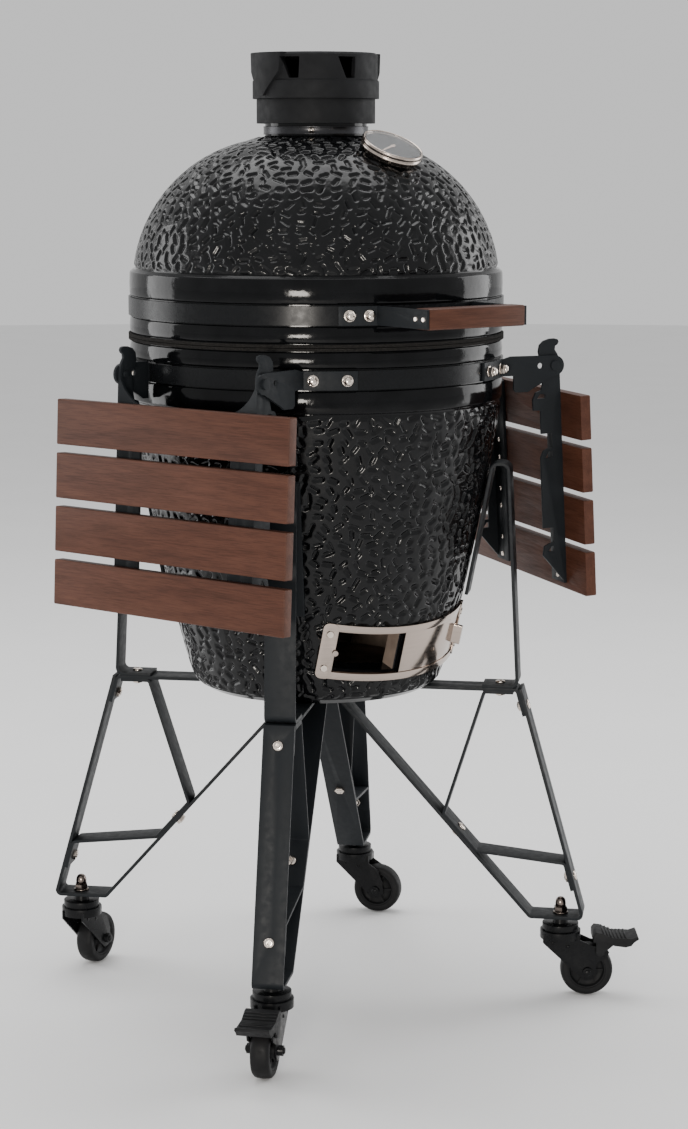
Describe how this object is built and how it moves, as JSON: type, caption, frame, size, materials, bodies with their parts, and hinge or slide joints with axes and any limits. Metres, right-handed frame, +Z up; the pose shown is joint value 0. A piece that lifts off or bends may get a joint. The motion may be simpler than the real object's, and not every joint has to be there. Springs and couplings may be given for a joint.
{
  "type": "kamado ceramic grill",
  "caption": "Egg-shaped ceramic charcoal grill with a hinged dome, sliding draft door and turning top vent, on a caster cart with folding wooden side tables.",
  "frame": {"origin": "on the floor under the ceramic body's axis, at the middle of the object's plan box", "axes": "+Z up, -Y is the front with the lid handle, +X is the right seen from the front"},
  "size_m": [0.7566, 0.72, 1.33],
  "materials": {
    "glazed_ceramic": "glossy black glaze over a dimpled surface",
    "refractory": "unglazed refractory",
    "cast_iron": "matte dark grey casting",
    "stainless": "brushed",
    "fastener_steel": "polished",
    "powder_coat": "fine matte black powder coat",
    "felt": "woven fibre gasket",
    "wood": "oiled reddish hardwood",
    "dial": "satin grey",
    "needle": "satin",
    "glass": "clear",
    "black_steel": "satin black",
    "tyre": "matte",
    "black_plastic": "matte"
  },
  "bodies": {
    "root": {"base_shell": "glazed_ceramic", "lower_band": "powder_coat", "gasket_lower": "felt", "firebox": "refractory", "fire_ring": "refractory", "charcoal_grate": "cast_iron", "cooking_grate": "stainless", "draft_frame": "stainless", "draft_screws": "fastener_steel", "hinge_lower": "powder_coat", "hinge_pin": "fastener_steel", "hinge_springs": "fastener_steel", "leg_yokes": "powder_coat", "leg_lower_fl": "powder_coat", "leg_lower_fr": "powder_coat", "leg_lower_br": "powder_coat", "leg_lower_bl": "powder_coat", "leg_braces": "powder_coat", "cradle_cross": "powder_coat", "leg_bolts": "fastener_steel", "acorn_nuts": "fastener_steel", "table_arms": "powder_coat", "caster_stems": "black_steel"},
    "lid": {"dome": "glazed_ceramic", "upper_band": "powder_coat", "gasket_upper": "felt", "handle_bar": "wood", "handle_arms": "powder_coat", "handle_screws": "fastener_steel", "upper_band_bolts": "fastener_steel", "thermometer_case": "stainless", "thermometer_dial": "dial", "thermometer_glass": "glass", "hinge_upper": "powder_coat", "chimney_clamp": "powder_coat", "vent_base": "cast_iron"},
    "vent_cap": {"vent_cap": "cast_iron"},
    "thermometer_needle": {"thermometer_needle": "needle"},
    "draft_door": {"draft_door": "stainless"},
    "ember_screen": {"ember_screen": "stainless"},
    "left_table": {"left_slats": "wood", "left_brackets": "powder_coat", "left_table_screws": "fastener_steel"},
    "right_table": {"right_slats": "wood", "right_brackets": "powder_coat", "right_table_screws": "fastener_steel"},
    "fork_fl": {"caster_fork_fl": "black_steel"},
    "wheel_fl": {"wheel_tyre_fl": "tyre", "wheel_hub_fl": "black_plastic"},
    "pedal_fl": {"brake_pedal_fl": "black_plastic"},
    "fork_fr": {"caster_fork_fr": "black_steel"},
    "wheel_fr": {"wheel_tyre_fr": "tyre", "wheel_hub_fr": "black_plastic"},
    "pedal_fr": {"brake_pedal_fr": "black_plastic"},
    "fork_br": {"caster_fork_br": "black_steel"},
    "wheel_br": {"wheel_tyre_br": "tyre", "wheel_hub_br": "black_plastic"},
    "fork_bl": {"caster_fork_bl": "black_steel"},
    "wheel_bl": {"wheel_tyre_bl": "tyre", "wheel_hub_bl": "black_plastic"}
  },
  "joints": [
    {"name": "lid_hinge", "type": "hinge", "parent": "root", "child": "lid", "pos_m": [0, 0.318, 0.9445], "axis": [-1, 0, 0], "range_deg": [0, 70]},
    {"name": "vent_cap_turn", "type": "hinge", "parent": "lid", "child": "vent_cap", "pos_m": [0, 0, 1.3], "axis": [0, 0, 1], "range_deg": [0, 24]},
    {"name": "needle_turn", "type": "hinge", "parent": "lid", "child": "thermometer_needle", "pos_m": [0.01892, -0.14369, 1.19122], "axis": [-0.0599, 0.4547, -0.8886], "range_deg": [0, 250]},
    {"name": "draft_door_slide", "type": "hinge", "parent": "root", "child": "draft_door", "pos_m": [-0.00019, 0.00144, 0.57393], "axis": [0.034, -0.2584, 0.9654], "range_deg": [-29, 0]},
    {"name": "ember_screen_slide", "type": "hinge", "parent": "root", "child": "ember_screen", "pos_m": [-0.00019, 0.00144, 0.57393], "axis": [0.034, -0.2584, 0.9654], "range_deg": [-29.5, 0]},
    {"name": "left_table_fold", "type": "hinge", "parent": "root", "child": "left_table", "pos_m": [-0.28266, -0.09507, 0.904], "axis": [-0.2823, 0.9593, 0], "range_deg": [0, 87]},
    {"name": "right_table_fold", "type": "hinge", "parent": "root", "child": "right_table", "pos_m": [0.28266, -0.09507, 0.904], "axis": [-0.2823, -0.9593, 0], "range_deg": [0, 87]},
    {"name": "swivel_fl", "type": "hinge", "parent": "root", "child": "fork_fl", "pos_m": [-0.25032, -0.25032, 0.09], "axis": [0, 0, 1], "continuous": true},
    {"name": "wheel_spin_fl", "type": "hinge", "parent": "fork_fl", "child": "wheel_fl", "pos_m": [-0.27855, -0.27574, 0.0375], "axis": [-0.6691, 0.7431, 0], "continuous": true},
    {"name": "brake_fl", "type": "hinge", "parent": "fork_fl", "child": "pedal_fl", "pos_m": [-0.29193, -0.28779, 0.067], "axis": [0.6691, -0.7431, 0], "range_deg": [0, 15]},
    {"name": "swivel_fr", "type": "hinge", "parent": "root", "child": "fork_fr", "pos_m": [0.25032, -0.25032, 0.09], "axis": [0, 0, 1], "continuous": true},
    {"name": "wheel_spin_fr", "type": "hinge", "parent": "fork_fr", "child": "wheel_fr", "pos_m": [0.28106, -0.27265, 0.0375], "axis": [-0.5878, -0.809, 0], "continuous": true},
    {"name": "brake_fr", "type": "hinge", "parent": "fork_fr", "child": "pedal_fr", "pos_m": [0.29562, -0.28323, 0.067], "axis": [0.5878, 0.809, 0], "range_deg": [0, 15]},
    {"name": "swivel_br", "type": "hinge", "parent": "root", "child": "fork_br", "pos_m": [0.25032, 0.25032, 0.09], "axis": [0, 0, 1], "continuous": true},
    {"name": "wheel_spin_br", "type": "hinge", "parent": "fork_br", "child": "wheel_br", "pos_m": [0.27474, 0.22121, 0.0375], "axis": [-0.766, -0.6428, 0], "continuous": true},
    {"name": "swivel_bl", "type": "hinge", "parent": "root", "child": "fork_bl", "pos_m": [-0.25032, 0.25032, 0.09], "axis": [0, 0, 1], "continuous": true},
    {"name": "wheel_spin_bl", "type": "hinge", "parent": "fork_bl", "child": "wheel_bl", "pos_m": [-0.21676, 0.26816, 0.0375], "axis": [0.4695, -0.8829, 0], "continuous": true}
  ]
}
